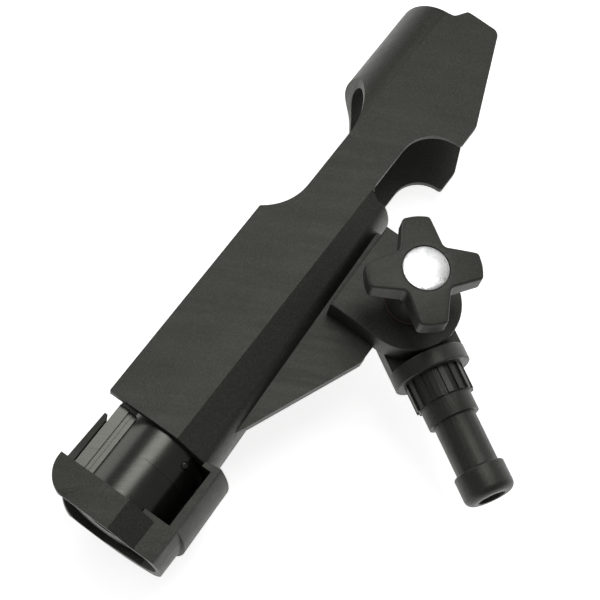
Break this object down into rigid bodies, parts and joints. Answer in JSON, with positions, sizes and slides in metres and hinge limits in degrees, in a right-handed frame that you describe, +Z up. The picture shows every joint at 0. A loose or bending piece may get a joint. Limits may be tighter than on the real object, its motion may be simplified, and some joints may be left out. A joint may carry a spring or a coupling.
{
  "type": "rod holder",
  "caption": "Fishing rod holder: tilting open-topped cradle with a hooded rear and a turning front lock ring, clamped by a lobed knob to a splined post.",
  "frame": {"origin": "on the post axis at the underside of the post flange, the face that rests on a socket", "axes": "+Z up along the post, +X towards the hooded rear of the cradle, -Y towards the clamp knob"},
  "size_m": [0.2784, 0.1, 0.2393],
  "materials": {
    "cradle_plastic": "fine grain moulded texture",
    "post_plastic": "satin moulded",
    "ring_plastic": "fine grain moulded texture",
    "knob_plastic": "fine grain moulded texture",
    "sleeve_gloss": "polished",
    "pin_plastic": "polished",
    "zinc": "bright zinc plate",
    "fibre_washer": "pressed fibre"
  },
  "bodies": {
    "post": {"post": "post_plastic", "hex_nut": "zinc"},
    "washer": {"knob_washer": "fibre_washer"},
    "knob": {"knob": "knob_plastic", "pivot_bolt": "zinc"},
    "cradle": {"cradle_body": "cradle_plastic", "front_sleeve": "sleeve_gloss", "sleeve_pins": "pin_plastic"},
    "lock_ring": {"lock_ring": "ring_plastic"}
  },
  "joints": [
    {"name": "cradle_tilt", "type": "hinge", "parent": "post", "child": "cradle", "pos_m": [0, 0.009, 0.0325], "axis": [0, 1, 0], "range_deg": [-18, 105]},
    {"name": "lock_ring_turn", "type": "hinge", "parent": "cradle", "child": "lock_ring", "pos_m": [-0.14617, 0.009, 0.00394], "axis": [0.8572, 0, 0.515], "range_deg": [0, 55]},
    {"name": "knob_out", "type": "slide", "parent": "post", "child": "washer", "axis": [0, -1, 0], "range_m": [0, 0.0025]},
    {"name": "knob_turn", "type": "hinge", "parent": "washer", "child": "knob", "pos_m": [0, 0.009, 0.0325], "axis": [0, -1, 0], "range_deg": [0, 720]}
  ],
  "couplings": [
    {"joint": "knob_turn", "follows": "knob_out", "rad_per_m": 5026.5}
  ]
}
